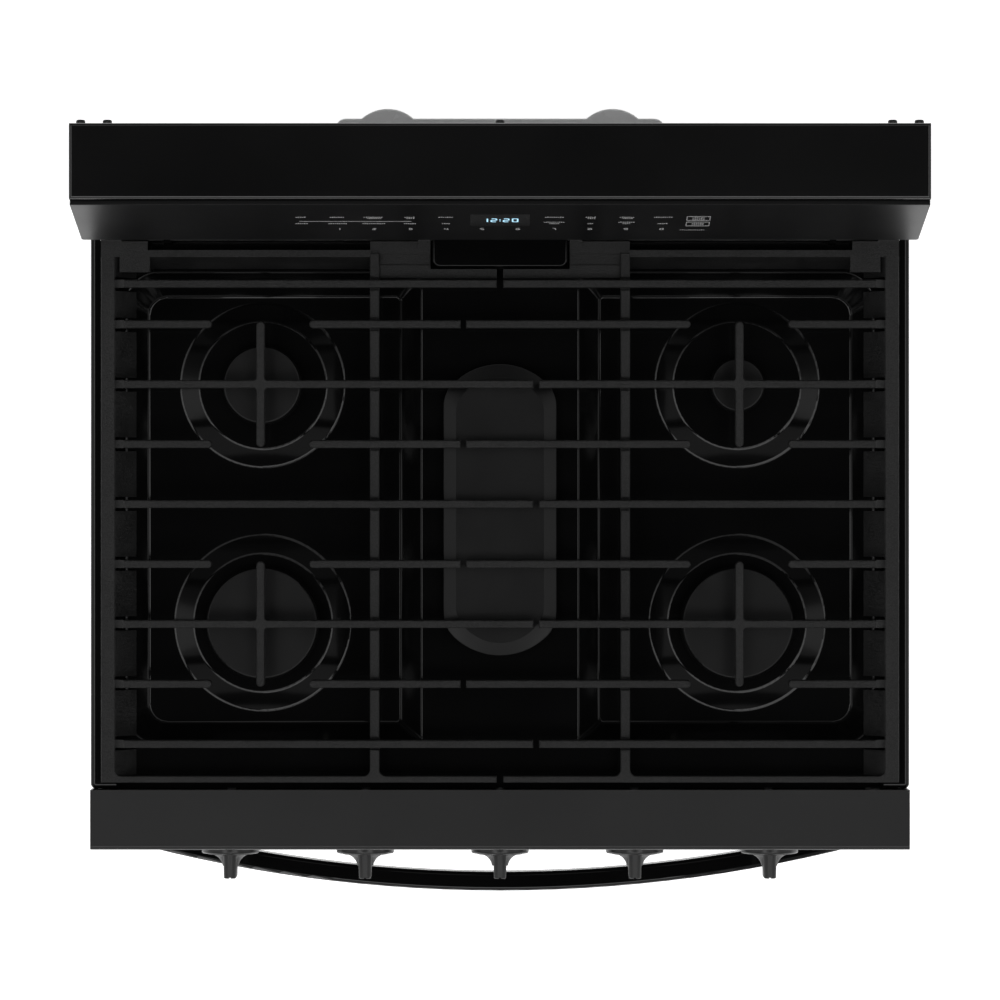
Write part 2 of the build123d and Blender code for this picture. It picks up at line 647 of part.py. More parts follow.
with BuildPart() as backguard_shell:
    with BuildSketch(Plane.YZ.offset(-half_width)) as profile:
        with BuildLine():
            Polyline((rear_y, guard_bottom), (rear_y, overall_height), (lip_y, overall_height),
                     (lip_y, 1184.0), (face_back_top[0] + 1.2, 1184.0), face_back_top, face_back_bottom,
                     (252.0, guard_bottom), close=True)
        make_face()
    extrude(amount=2 * half_width)
    fillet(backguard_shell.faces().sort_by(Axis.Z)[-1].edges(), 2.5)
    with BuildSketch(Plane.YZ.offset(sheet - half_width)):
        offset(profile.sketch_local, amount=-sheet)
    extrude(amount=2 * (half_width - sheet), mode=Mode.SUBTRACT)
    block((-110.0, 110.0), (240.0, 300.0), (1085.0, 1140.0), mode=Mode.SUBTRACT)
    block((-366.0, 366.0), (270.0, 334.0), (guard_bottom - 5, guard_bottom + 5), mode=Mode.SUBTRACT)
save(backguard_shell, "backguard_shell")

with BuildPart() as touch_panel:
    with BuildSketch(touch_plane.offset(-touch_thickness)):
        RectangleRounded(2 * half_width, slope_length, 3.0)
    extrude(amount=touch_thickness)
    fillet(touch_panel.faces().sort_by(Axis.Y)[0].edges(), 0.8)
save(touch_panel, "touch_panel")

with BuildPart() as display_board:
    with BuildSketch(touch_plane.offset(-touch_thickness - 16)):
        Rectangle(200.0, 46.0)
    extrude(amount=1.6)
    with BuildSketch(touch_plane.offset(-touch_thickness - 14.4)):
        Rectangle(60.0, 24.0)
        with GridLocations(150.0, 30.0, 2, 2):
            Circle(3.0)
    extrude(amount=14.0)
save(display_board, "display_board")

with BuildPart() as backguard_screws:
    for x in (-370.0, -346.5, 0.0, 346.5, 370.0):
        rod((x, rear_y, 1172.0), (0, 1, 0), 4.0, 4.2)
    fillet(backguard_screws.edges().group_by(Axis.Y)[-1], 1.8)
save(backguard_screws, "backguard_screws")

# ---- Door ----

with BuildPart() as door_hinge_arms:
    for side in (-1, 1):
        arm_x = side * hinge_x
        block((arm_x - 4, arm_x + 4), (hinge_y - 5, -244.0), (hinge_z - 6.8, hinge_z + 6.8))
        rod((arm_x - 13, hinge_y, hinge_z), (1, 0, 0), 26.0, 4.0)
save(door_hinge_arms, "door_hinge_arms")

with BuildPart() as door_front_glass:
    block((-door_half, door_half), (door_front, door_front + glass_thickness), door_z)
    fillet(door_front_glass.edges().filter_by(Axis.Y), 3.0)
    fillet(door_front_glass.faces().sort_by(Axis.Y)[0].edges(), 1.5)
save(door_front_glass, "door_front_glass")

shell_y = (door_front + glass_thickness, inner_panel_y[0])
slot_half = 14.0
with BuildPart() as door_shell:
    block((-door_half + 1, door_half - 1), shell_y, (door_z[0] + 1, door_z[1] - 1))
    block((-door_half + 3, door_half - 3), (shell_y[0] - 1, shell_y[1] + 1), (door_z[0] + 3, door_z[1] - 3),
          mode=Mode.SUBTRACT)
    block((-window_half - 2, window_half + 2), shell_y, (window_z[0] - 2, window_z[1] + 2))
    block((-window_half, window_half), (shell_y[0] - 1, shell_y[1] + 1), window_z, mode=Mode.SUBTRACT)
    for side in (-1, 1):
        block(span(side, window_half, door_half - 2), (shell_y[0] + 8, shell_y[0] + 10), (515.0, 535.0))
        block(span(side, hinge_x - 20, hinge_x - 14), (shell_y[0], shell_y[1]), (door_z[0] + 2, 262.0))
        block(span(side, hinge_x + 14, hinge_x + 20), (shell_y[0], shell_y[1]), (door_z[0] + 2, 262.0))
        block(span(side, hinge_x - 20, hinge_x + 20), (shell_y[0], shell_y[1]), (260.0, 262.0))
        for cheek in (hinge_x - 14, hinge_x + 8):
            rod((side * (cheek + 3) - 3, hinge_y, hinge_z), (1, 0, 0), 6.0, 7.0)
            block(span(side, cheek, cheek + 6), (-296.0, hinge_y), (hinge_z - 7, hinge_z + 7))
        block(span(side, hinge_x - 8, hinge_x + 8), (shell_y[0] + 6, -270.0), (door_z[0] - 1, 258.0),
              mode=Mode.SUBTRACT)
    rod((-330, hinge_y, hinge_z), (1, 0, 0), 660.0, 4.0 + running_gap, mode=Mode.SUBTRACT)
save(door_shell, "door_shell")

with BuildPart() as door_inner_panel:
    block((-door_half + 6, door_half - 6), inner_panel_y, (door_z[0] + 2, door_z[1] - 6))
    fillet(door_inner_panel.edges().filter_by(Axis.Y), 10.0)
    block((-window_half, window_half), (-290, -270), window_z, mode=Mode.SUBTRACT)
    fillet(door_inner_panel.edges().filter_by(Axis.Y).filter_by_position(Axis.X, -236, 236), 12.0)
    for side in (-1, 1):
        block(span(side, hinge_x - slot_half - 6.5, hinge_x + slot_half + 6.5), (-290.0, -270.0),
              (door_z[0] - 1, 262.5), mode=Mode.SUBTRACT)
save(door_inner_panel, "door_inner_panel")

with BuildPart() as door_window_glass:
    for y in (-308.0, -294.0):
        block((-window_half + 0.5, window_half - 0.5), (y, y + 4.0), (window_z[0] + 0.5, window_z[1] - 0.5))
save(door_window_glass, "door_window_glass")

gasket_z = (256.0, 752.0)
with BuildPart() as door_gasket:
    with BuildSketch(Plane.XZ.offset(-inner_panel_y[1])):
        with Locations((0, (sum(gasket_z)) / 2)):
            RectangleRounded(2 * (oven_half + 12), gasket_z[1] - gasket_z[0] + 10, 18.0)
            RectangleRounded(2 * (oven_half + 4), gasket_z[1] - gasket_z[0] - 6, 12.0, mode=Mode.SUBTRACT)
    extrude(amount=-5.0)
    fillet(door_gasket.edges().group_by(Axis.Y)[-1], 2.0)
save(door_gasket, "door_gasket")

with BuildPart() as door_handle:
    with BuildSketch(Plane.XY.offset(handle_z - handle_height / 2)):
        with Locations((0, handle_front + handle_radius)):
            Circle(handle_radius)
            Circle(handle_radius - handle_thickness, mode=Mode.SUBTRACT)
        with Locations((0, -340.0)):
            Rectangle(2 * handle_half, 80.0, mode=Mode.INTERSECT)
    extrude(amount=handle_height)
    fillet(door_handle.edges().filter_by(Axis.Z).group_by(Axis.Y)[0], 6.0)
    long_edges = door_handle.edges().group_by(Axis.Z)
    fillet(long_edges[-1] + long_edges[0], 3.5)
    block((-400, 400), (door_front, -200.0), (700.0, 800.0), mode=Mode.SUBTRACT)
save(door_handle, "door_handle")

# ---- Storage drawer ----

with BuildPart() as drawer_front:
    block((-door_half, door_half), (door_front, -295.0), drawer_z)
    fillet(drawer_front.faces().sort_by(Axis.Y)[0].edges(), 3.0)
    with Locations((0, door_front - 4, drawer_z[1] - 16)):
        Cylinder(14.0, 420.0, rotation=(0, 90, 0), mode=Mode.SUBTRACT)
save(drawer_front, "drawer_front")

with BuildPart() as drawer_box:
    block((-drawer_half, drawer_half), (-295.0, drawer_rear), drawer_box_z)
    fillet(drawer_box.edges().filter_by(Axis.Z).group_by(Axis.Y)[-1], 6.0)
    block((-drawer_half + 1.5, drawer_half - 1.5), (-293.5, drawer_rear - 1.5),
          (drawer_box_z[0] + 1.5, drawer_box_z[1] + 5), mode=Mode.SUBTRACT)
    for side in (-1, 1):
        block(span(side, drawer_half - 1.5, drawer_half + 1.5), (-290.0, drawer_rear - 10), (112.0, 114.0))
        block(span(side, drawer_half, drawer_half + 12.0), (-200.0, drawer_rear - 10), (110.5, 112.0))
save(drawer_box, "drawer_box")

# ---- Grates ----

bar_xs = {-1: [-2.8, -36.2, 30.8, -36.2, 30.8, -36.2, 30.8, -36.2, 30.8],
          1: [2.8, -31.5, 36.0, -31.5, 36.0, -31.5, 36.0, -31.5, 36.0]}
ring_bars = (1, 3, 5, 7)
skirt_top_x = 356.5
notch_half = 6.5
rail_slot = 2.6
rail_slot_depth = 8.0


def bar_plan(side):
    # Top level of a grate half seen from above: bars square at the middle joint, round at the
    # burners, with a cross over each burner
    with BuildSketch(Plane.XY.offset(bar_top - bar_depth)) as plan:
        for index, y in enumerate(bar_ys):
            start = side * bar_xs[side][index]
            pieces = [(start, 362.0)]
            if index in ring_bars:
                pieces = [(start, burner_x - finger_stop), (burner_x + finger_stop, 362.0)]
            for low, high in pieces:
                with Locations((side * (low + high) / 2, y)):
                    SlotOverall(high - low, bar_width)
            with Locations((side * (start + bar_width), y)):
                Rectangle(2 * bar_width, bar_width)
        for y in (rear_burner_y, front_burner_y):
            with Locations((side * burner_x, y)):
                SlotOverall(2 * cross_half, cross_width, rotation=90)
        corners = plan.vertices().filter_by(
            lambda v: abs(abs(v.X) - burner_x) < 5
            and min(abs(v.Y - rear_burner_y), abs(v.Y - front_burner_y)) < 5)
        fillet(corners, 3.0)
    return plan.sketch


def bar_set(side):
    with BuildPart() as bars:
        extrude(bar_plan(side), amount=bar_depth)
        fillet(bars.faces().group_by(Axis.Z)[-1].edges(), 1.5)
        with BuildSketch(Plane.XZ.offset(300.0)) as ramp:
            with BuildLine():
                Polyline((side * 347.0, bar_top), (side * 356.4, frame_top), (side * 372.0, frame_top),
                         (side * 372.0, bar_top + 5), (side * 347.0, bar_top + 5), close=True)
            make_face()
        extrude(ramp.sketch, amount=-600.0, mode=Mode.SUBTRACT)
    return bars.part


def grate(side):
    low = frame_top - frame_depth
    with BuildPart() as half:
        with BuildSketch(Plane.XY.offset(low)) as frame:
            near, far = span(side, *side_frame_x)
            with Locations(((near + far) / 2, (front_bar_y[0] + 252.0) / 2)):
                Rectangle(far - near, 252.0 - front_bar_y[0])
            near, far = span(side, 3.0, 365.0)
            with Locations(((near + far) / 2, sum(front_bar_y) / 2)):
                Rectangle(far - near, front_bar_y[1] - front_bar_y[0])
            with Locations((side * rail_x, (front_bar_y[0] + 236.0) / 2)):
                Rectangle(rail_width, 236.0 - front_bar_y[0])
            inside = frame.vertices().filter_by(
                lambda v: abs(v.Y - front_bar_y[1]) < 0.1 and abs(v.X) > 100)
            fillet(inside, 6.0)
        extrude(frame.sketch, amount=frame_depth)
        fillet(half.faces().sort_by(Axis.Z)[-1].edges(), 1.2)
        with BuildSketch(Plane.XY.offset(frame_top - rail_slot_depth)) as rail_slots:
            for y in bar_ys:
                for edge in (-1, 1):
                    with Locations((side * rail_x, y + edge * (bar_width + rail_slot) / 2)):
                        Rectangle(rail_width + 2, rail_slot)
        extrude(rail_slots.sketch, amount=rail_slot_depth + 2, mode=Mode.SUBTRACT)
        add(bar_set(side))
        block(span(side, 120.0, 356.5), (232.0, 238.4), (low, frame_top))
        block(span(side, 64.5, 120.0), (235.0, 246.5), (918.0, frame_top - 2))
        block(span(side, 64.5, 112.0), (223.0, 236.0), (908.0, frame_top - 8))
        block(span(side, 64.5, 112.0), (213.0, 224.5), (904.0, frame_top - 5))
        block(span(side, 326.0, 369.1), (232.0, 246.5), (918.0, frame_top))
        block(span(side, 3.0, 120.0), (213.0, 221.0), (904.0, frame_top - 5))
        for near, far in ((64.5, 76.0), (350.0, 369.1)):
            low_x, high_x = span(side, near, far)
            rod((low_x, pivot_y, pivot_z), (1, 0, 0), high_x - low_x, lug_radius)
            block((low_x, high_x), (240.0, pivot_y), (pivot_z - lug_radius, frame_top))
        with BuildSketch(Plane.XZ.offset(-238.0)) as side_skirt:
            with BuildLine():
                Polyline((side * (skirt_top_x + 1), frame_top - 1), (side * 356.5, 918.0), (side * 342.0, 900.8),
                         (side * 338.0, 902.0), (side * (skirt_top_x - 0.6), frame_top - 1), close=True)
            make_face()
        skirt_ends = [233.0] + [y for bar in bar_ys for y in (bar + notch_half, bar - notch_half)] + [-248.0]
        for rear, front in zip(skirt_ends[0::2], skirt_ends[1::2]):
            extrude(side_skirt.sketch.moved(Location((0, rear - 238.0, 0))), amount=rear - front)
        with BuildSketch(Plane.YZ.offset(-340.0 if side < 0 else 112.0)) as rear_skirt:
            with BuildLine():
                Polyline((237.5, frame_top - 1), (232.5, frame_top - 1), (222.0, 902.0), (225.5, 900.8),
                         (237.5, 922.0), close=True)
            make_face()
        extrude(rear_skirt.sketch, amount=228.0)
        block(span(side, 324.0, 352.0), (218.0, 237.0), (908.0, frame_top - 1.5))
        for foot_x, foot_y in ((362.6, -238.0), (362.6, 225.0), (rail_x, -246.0)):
            with Locations((side * foot_x, foot_y, ledge_z + 0.4)):
                Cylinder(4.0, low - ledge_z, align=(Align.CENTER, Align.CENTER, Align.MIN))
        rod((-372, pivot_y, pivot_z), (1, 0, 0), 744, rod_radius + running_gap, mode=Mode.SUBTRACT)
    return half


save(grate(-1), "grate_left")
save(grate(1), "grate_right")
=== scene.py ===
import json
import math

import bmesh
import bpy
from mathutils import Matrix, Vector


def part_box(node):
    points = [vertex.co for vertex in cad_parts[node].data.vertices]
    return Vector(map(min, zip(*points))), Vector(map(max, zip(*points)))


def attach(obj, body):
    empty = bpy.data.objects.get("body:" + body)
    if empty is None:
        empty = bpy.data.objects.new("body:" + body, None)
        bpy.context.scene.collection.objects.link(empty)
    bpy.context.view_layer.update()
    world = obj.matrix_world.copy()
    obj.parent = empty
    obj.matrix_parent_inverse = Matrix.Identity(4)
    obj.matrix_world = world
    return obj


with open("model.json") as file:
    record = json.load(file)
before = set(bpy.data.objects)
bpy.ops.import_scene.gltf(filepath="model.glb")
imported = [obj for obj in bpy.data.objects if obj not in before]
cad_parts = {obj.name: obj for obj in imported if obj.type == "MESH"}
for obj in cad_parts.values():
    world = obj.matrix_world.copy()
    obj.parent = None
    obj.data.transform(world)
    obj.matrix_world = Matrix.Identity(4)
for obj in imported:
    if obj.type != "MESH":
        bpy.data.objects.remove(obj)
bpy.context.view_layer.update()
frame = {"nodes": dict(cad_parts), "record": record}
print("frame loaded")


class Wire:
    # an output socket that does arithmetic by adding Math nodes
    def __init__(self, paint, socket):
        self.paint = paint
        self.socket = socket

    def maths(self, operation, *values):
        return self.paint.node("ShaderNodeMath", {"operation": operation}, dict(enumerate(values)))

    def __add__(self, other):
        return self.maths("ADD", self, other)

    def __mul__(self, other):
        return self.maths("MULTIPLY", self, other)

    def __sub__(self, other):
        return self.maths("SUBTRACT", self, other)

    def __rsub__(self, other):
        return self.maths("SUBTRACT", other, self)

    def __lt__(self, other):
        return self.maths("LESS_THAN", self, other)

    def __gt__(self, other):
        return self.maths("GREATER_THAN", self, other)

    def __abs__(self):
        return self.maths("ABSOLUTE", self)

    __radd__ = __add__
    __rmul__ = __mul__


class Nodes:
    # adds nodes to one node tree, settings first, then the values or links of its sockets
    def __init__(self, tree):
        self.tree = tree

    def node(self, kind, settings=None, sockets=None, out=0):
        made = self.tree.nodes.new(kind)
        for key, value in (settings or {}).items():
            setattr(made, key, value)
        for key, value in (sockets or {}).items():
            if isinstance(value, Wire):
                self.tree.links.new(value.socket, made.inputs[key])
            else:
                made.inputs[key].default_value = value
        return Wire(self, made.outputs[out])


class Paint(Nodes):
    # one material: a Principled shader, and nodes that feed its sockets
    def __init__(self, name, **constants):
        self.material = bpy.data.materials.new(name)
        self.material.use_nodes = True
        super().__init__(self.material.node_tree)
        self.shader = self.tree.nodes["Principled BSDF"]
        for socket, value in constants.items():
            self.shader.inputs[socket.replace("_", " ")].default_value = value

    def place(self, scale=(1, 1, 1), turn=(0, 0, 0)):
        spot = self.node("ShaderNodeTexCoord", out="Object")
        return self.node("ShaderNodeMapping", None, {"Vector": spot, "Scale": scale, "Rotation": turn})

    def noise(self, scale, detail=3.0, rough=0.55, where=None):
        return self.node("ShaderNodeTexNoise", None, {"Vector": where or self.place(), "Scale": scale,
                                                      "Detail": detail, "Roughness": rough})

    def cells(self, scale, feature="F1", out="Distance", where=None):
        return self.node("ShaderNodeTexVoronoi", {"feature": feature},
                         {"Vector": where or self.place(), "Scale": scale}, out)

    def ramp(self, wire, low, high, a=0.0, b=1.0):
        return self.node("ShaderNodeMapRange", None, {"Value": wire, "From Min": low, "From Max": high,
                                                      "To Min": a, "To Max": b})

    def blend(self, factor, first, second):
        return self.node("ShaderNodeMix", {"data_type": "RGBA"},
                         {0: factor, 6: asColour(first), 7: asColour(second)}, 2)

    def feed(self, socket, wire):
        self.tree.links.new(wire.socket, self.shader.inputs[socket])

    def bump(self, height, strength, distance):
        self.feed("Normal", self.node("ShaderNodeBump", None, {"Height": height, "Strength": strength,
                                                               "Distance": distance}))


def asColour(value):
    return value if isinstance(value, Wire) else (*value, 1.0)


def finishSurface(paint, first, second, mask, roughness, bumpHeight=None, bumpSize=(0.2, 0.0002)):
    # colour and roughness both vary with the mask
    paint.feed("Base Color", paint.blend(mask, first, second))
    paint.feed("Roughness", paint.ramp(mask, 0.0, 1.0, *roughness))
    if bumpHeight is not None:
        paint.bump(bumpHeight, *bumpSize)
    return paint.material


def glossEnamel():
    paint = Paint("blackGlossEnamel", Specular_IOR_Level=0.25)
    wave = paint.noise(45.0, 2.0)
    haze = paint.noise(9.0, 4.0)
    return finishSurface(paint, (0.0021, 0.0021, 0.0022), (0.0033, 0.0033, 0.0034), haze, (0.1, 0.16), wave,
                         (0.06, 0.0006))


def satinSteel(name, colour, roughness=(0.36, 0.46), sheen=0.5):
    paint = Paint(name, Specular_IOR_Level=sheen)
    grain = paint.noise(1400.0, 2.0)
    haze = paint.noise(6.0, 4.0)
    lighter = tuple(c * 1.18 for c in colour)
    return finishSurface(paint, colour, lighter, haze, roughness, grain, (0.12, 0.00008))


def castIron():
    paint = Paint("grateCastIron", Specular_IOR_Level=0.3)
    grit = paint.noise(640.0, 4.0, 0.7)
    pits = paint.cells(900.0)
    patches = paint.noise(35.0, 3.0)
    mask = paint.ramp(grit * 0.8 + patches * 0.2, 0.43, 0.57)
    return finishSurface(paint, (0.0032, 0.0032, 0.0033), (0.0215, 0.0215, 0.0215), mask, (0.5, 0.7),
                         grit + pits * 0.35, (0.6, 0.0007))


def capEnamel():
    paint = Paint("burnerCapEnamel", Specular_IOR_Level=0.2)
    fine = paint.noise(900.0, 3.0)
    patches = paint.noise(30.0, 3.0)
    return finishSurface(paint, (0.0016, 0.0016, 0.0017), (0.0027, 0.0027, 0.0028), patches,
                         (0.28, 0.38), fine, (0.2, 0.0001))


def castAluminium():
    paint = Paint("castAluminium", Metallic=0.85)
    fine = paint.noise(700.0, 4.0)
    stain = paint.noise(40.0, 3.0)
    return finishSurface(paint, (0.2, 0.2, 0.21), (0.34, 0.34, 0.35), stain, (0.42, 0.6), fine, (0.3, 0.0002))


def galvanised():
    paint = Paint("galvanisedSheet", Metallic=0.2)
    spangle = paint.cells(70.0, out="Color")
    tone = paint.node("ShaderNodeSeparateColor", None, {"Color": spangle})
    scratch = paint.noise(30.0, 3.0, where=paint.place(scale=(6, 6, 0.6)))
    mask = tone * 0.6 + scratch * 0.4
    return finishSurface(paint, (0.66, 0.662, 0.665), (0.79, 0.792, 0.795), mask, (0.42, 0.56),
                         tone + scratch * 0.3, (0.05, 0.0003))


def stainless():
    paint = Paint("brushedStainless", Metallic=1.0)
    lines = paint.noise(500.0, 2.0, where=paint.place(scale=(0.06, 1, 1)))
    return finishSurface(paint, (0.42, 0.42, 0.42), (0.56, 0.56, 0.56), lines, (0.24, 0.38), lines,
                         (0.1, 0.0001))


def chromeWire():
    paint = Paint("chromeWire", Metallic=1.0)
    haze = paint.noise(60.0, 3.0)
    return finishSurface(paint, (0.55, 0.55, 0.56), (0.66, 0.66, 0.67), haze, (0.1, 0.2))


def brass():
    paint = Paint("machinedBrass", Metallic=1.0)
    rings = paint.noise(300.0, 2.0, where=paint.place(scale=(1, 6, 1)))
    return finishSurface(paint, (0.52, 0.36, 0.13), (0.66, 0.5, 0.22), rings, (0.22, 0.36), rings,
                         (0.08, 0.0001))


def ceramic():
    paint = Paint("igniterCeramic")
    spots = paint.noise(300.0, 3.0)
    return finishSurface(paint, (0.62, 0.6, 0.55), (0.78, 0.76, 0.71), spots, (0.3, 0.5))


def touchGlass():
    paint = Paint("touchGlass", Specular_IOR_Level=0.12)
    smear = paint.noise(11.0, 5.0, 0.6)
    return finishSurface(paint, (0.0055, 0.0055, 0.0057), (0.007, 0.007, 0.0072), smear, (0.26, 0.38))


def doorGlass(look):
    # black printed glass with a dark see-through looking window
    paint = Paint("doorGlass")
    spot = paint.node("ShaderNodeSeparateXYZ", None, {"Vector": paint.place()}, "X")
    height = Wire(paint, spot.socket.node.outputs["Z"])
    inside = (abs(spot) < look["half"]) * (height > look["low"]) * (height < look["high"])
    smear = paint.noise(8.0, 5.0, 0.6)
    paint.feed("Base Color", paint.blend(inside, (0.006, 0.006, 0.0063), (0.017, 0.0155, 0.014)))
    paint.feed("Roughness", paint.ramp(smear, 0.3, 0.7, 0.05, 0.11))
    return paint.material


def clearGlass():
    paint = Paint("clearGlass", Transmission_Weight=0.92, IOR=1.5)
    smear = paint.noise(14.0, 4.0)
    return finishSurface(paint, (0.82, 0.86, 0.84), (0.9, 0.93, 0.91), smear, (0.01, 0.06))


def knobPlastic():
    paint = Paint("knobPlastic")
    grain = paint.noise(1600.0, 2.0)
    haze = paint.noise(60.0, 3.0)
    return finishSurface(paint, (0.0105, 0.0105, 0.0107), (0.015, 0.015, 0.0153), haze, (0.42, 0.54), grain,
                         (0.15, 0.00006))


def circuitGreen():
    paint = Paint("circuitBoard")
    tracks = paint.cells(160.0, feature="DISTANCE_TO_EDGE")
    return finishSurface(paint, (0.02, 0.12, 0.05), (0.01, 0.06, 0.025), paint.ramp(tracks, 0.02, 0.06),
                         (0.3, 0.45), tracks, (0.2, 0.0002))


def wovenGasket():
    paint = Paint("wovenGasket")
    braid = paint.node("ShaderNodeTexWave", {"wave_type": "BANDS", "bands_direction": "DIAGONAL"},
                       {"Vector": paint.place(), "Scale": 260.0, "Distortion": 1.5, "Detail": 2.0}, "Fac")
    return finishSurface(paint, (0.03, 0.03, 0.03), (0.11, 0.11, 0.11), braid, (0.8, 0.95), braid,
                         (0.6, 0.0006))


def fibreWool():
    paint = Paint("fibreWool")
    fibres = paint.noise(240.0, 6.0, 0.75, paint.place(scale=(1, 0.2, 1)))
    return finishSurface(paint, (0.5, 0.42, 0.2), (0.75, 0.68, 0.42), fibres, (0.9, 1.0), fibres,
                         (0.8, 0.003))


def speckledEnamel():
    paint = Paint("speckledOvenEnamel")
    specks = paint.ramp(paint.cells(520.0), 0.2, 0.12)
    fine = paint.noise(60.0, 3.0)
    return finishSurface(paint, (0.017, 0.02, 0.028), (0.28, 0.3, 0.34), specks, (0.18, 0.3), fine,
                         (0.06, 0.0004))


def printInk(name, colour, glow=0.0):
    paint = Paint(name, Emission_Strength=glow, Emission_Color=(*colour, 1.0))
    wear = paint.noise(300.0, 3.0)
    darker = tuple(c * 0.82 for c in colour)
    return finishSurface(paint, darker, colour, wear, (0.35, 0.5))


bodyBlack = satinSteel("blackSatinSteel", (0.0055, 0.0055, 0.0057), (0.28, 0.38), 0.4)
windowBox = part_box("door_window_glass")
finishes = {
    "black_enamel": glossEnamel(),
    "black_steel": bodyBlack,
    "galvanised": galvanised(),
    "oven_enamel": speckledEnamel(),
    "insulation": fibreWool(),
    "stainless": stainless(),
    "chrome_wire": chromeWire(),
    "cast_iron": castIron(),
    "cap_enamel": capEnamel(),
    "aluminium": castAluminium(),
    "brass": brass(),
    "ceramic": ceramic(),
    "touch_glass": touchGlass(),
    "door_glass": doorGlass({"half": windowBox[1][0], "low": windowBox[0][2], "high": windowBox[1][2]}),
    "clear_glass": clearGlass(),
    "black_plastic": knobPlastic(),
    "circuit": circuitGreen(),
    "gasket": wovenGasket(),
}
ownFinish = {
    "control_panel": satinSteel("controlPanelSatin", (0.0072, 0.0072, 0.0074), (0.26, 0.34), 0.36),
    "backguard_shell": satinSteel("backguardSatin", (0.004, 0.004, 0.0041), (0.12, 0.18), 0.6),
    "grate_hinge_bracket": satinSteel("hingeBlockGloss", (0.0008, 0.0008, 0.0009), (0.14, 0.22), 0.2),
    "door_handle": satinSteel("handleGloss", (0.0012, 0.0012, 0.0013), (0.1, 0.17), 0.32),
    "knob_bezels": satinSteel("bezelSatin", (0.003, 0.003, 0.0032), (0.25, 0.35)),
}
for part in frame["record"]["subparts"]:
    node = frame["nodes"][part["node"]]
    finish = ownFinish.get(part["node"], finishes[part["material_slot"]])
    node.data.materials.clear()
    node.data.materials.append(finish)
print("finishes on", len(frame["nodes"]), "nodes")


def addSlab(mesh, centre, size, turn=0.0):
    # a thin bar in the working plane: x across, y up, z out of the face
    spot = Matrix.Translation(centre) @ Matrix.Rotation(turn, 4, "Z") @ Matrix.Diagonal((*size, 1.0))
    bmesh.ops.create_cube(mesh, size=1.0, matrix=spot)


def addDigit(mesh, digit, centre, width, height, stroke, thick):
    # a plain seven-segment figure
    lit = {"0": "abcdef", "1": "bc", "2": "abged", "3": "abgcd", "4": "fgbc", "5": "afgcd",
           "6": "afgedc", "7": "abc", "8": "abcdefg", "9": "abcdfg"}[digit]
    across, up = width / 2, height / 2
    bars = {"a": (0, up, 1), "g": (0, 0, 1), "d": (0, -up, 1), "f": (-across, up / 2, 0),
            "b": (across, up / 2, 0), "e": (-across, -up / 2, 0), "c": (across, -up / 2, 0)}
    for key in lit:
        x, y, flat = bars[key]
        size = (width - stroke * 0.4, stroke, thick) if flat else (stroke, up - stroke * 0.3, thick)
        addSlab(mesh, (centre[0] + x, centre[1] + y, 0), size)


def addWord(mesh, centre, width, height, pattern):
    # a row of little strokes that stands for a word
    pitch = 0.0019
    count = max(3, round(width / pitch))
    for index in range(count):
        tall = height * (0.62 + 0.19 * ((index * 5 + pattern * 3) % 3))
        x = centre[0] + (index - (count - 1) / 2) * pitch
        addSlab(mesh, (x, centre[1] - (height - tall) / 2, 0), (pitch * 0.66, tall, 0.0002))


def finishPiece(mesh, name, material, body):
    bmesh.ops.recalc_face_normals(mesh, faces=mesh.faces[:])
    data = bpy.data.meshes.new(name)
    mesh.to_mesh(data)
    mesh.free()
    piece = bpy.data.objects.new(name, data)
    bpy.context.collection.objects.link(piece)
    data.materials.append(material)
    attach(piece, body)
    return piece


def pourInto(whole, part, place):
    # adds a small mesh to a larger one at its place
    bmesh.ops.transform(part, matrix=place, verts=part.verts[:])
    spare = bpy.data.meshes.new("spare")
    part.to_mesh(spare)
    whole.from_mesh(spare)
    part.free()
    bpy.data.meshes.remove(spare)


touchThickness = 0.0045


def faceLean():
    # the touch face's lean from upright: its box less its thickness, closed in on by repeating
    low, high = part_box("touch_panel")
    lean = 0.0
    for _ in range(8):
        lean = math.atan2(high[1] - low[1] - touchThickness * math.cos(lean),
                          high[2] - low[2] - touchThickness * math.sin(lean))
    return lean


def facePlane(lift):
    # the touch face's own axes, with its origin at the middle of its lower front edge
    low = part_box("touch_panel")[0]
    lean = faceLean()
    corner = Vector((0, low[1], low[2] + touchThickness * math.sin(lean)))
    up = Vector((0, math.sin(lean), math.cos(lean)))
    out = Vector((0, -math.cos(lean), math.sin(lean)))
    turn = Matrix((Vector((1, 0, 0)), up, out)).transposed().to_4x4()
    return Matrix.Translation(corner + out * lift) @ turn


printPitch = 0.03227
inkThick = 0.0002
touchLabels = {
    "columns": [-5.5, -4.5, -3.5, -2.5, -1.5, 1.5, 2.5, 3.5, 4.5],
    "topRow": 0.0956,
    "lowerRow": 0.0714,
    "digitRow": 0.0478,
    "lineRow": 0.0805,
    "smallRow": 0.044,
    "wordHeight": 0.003,
    "lowerHeight": 0.0032,
    "shortest": 0.009,
    "longer": 0.004,
    "secondLine": 0.006,
    "raised": 0.0028,
    "lowered": 0.0022,
    "lineMiddle": -4.0,
    "lineLength": 3.1,
    "lineWidth": 0.0007,
    "digit": {"width": 0.0028, "height": 0.006, "stroke": 0.0011},
    "frameRows": (0.093, 0.0695),
    "frame": {"column": 5.48, "wide": 0.0205, "tall": 0.0165, "flat": 0.0012, "upright": 0.0007},
    "small": {"column": 5.35, "wide": 0.022, "tall": 0.002},
}


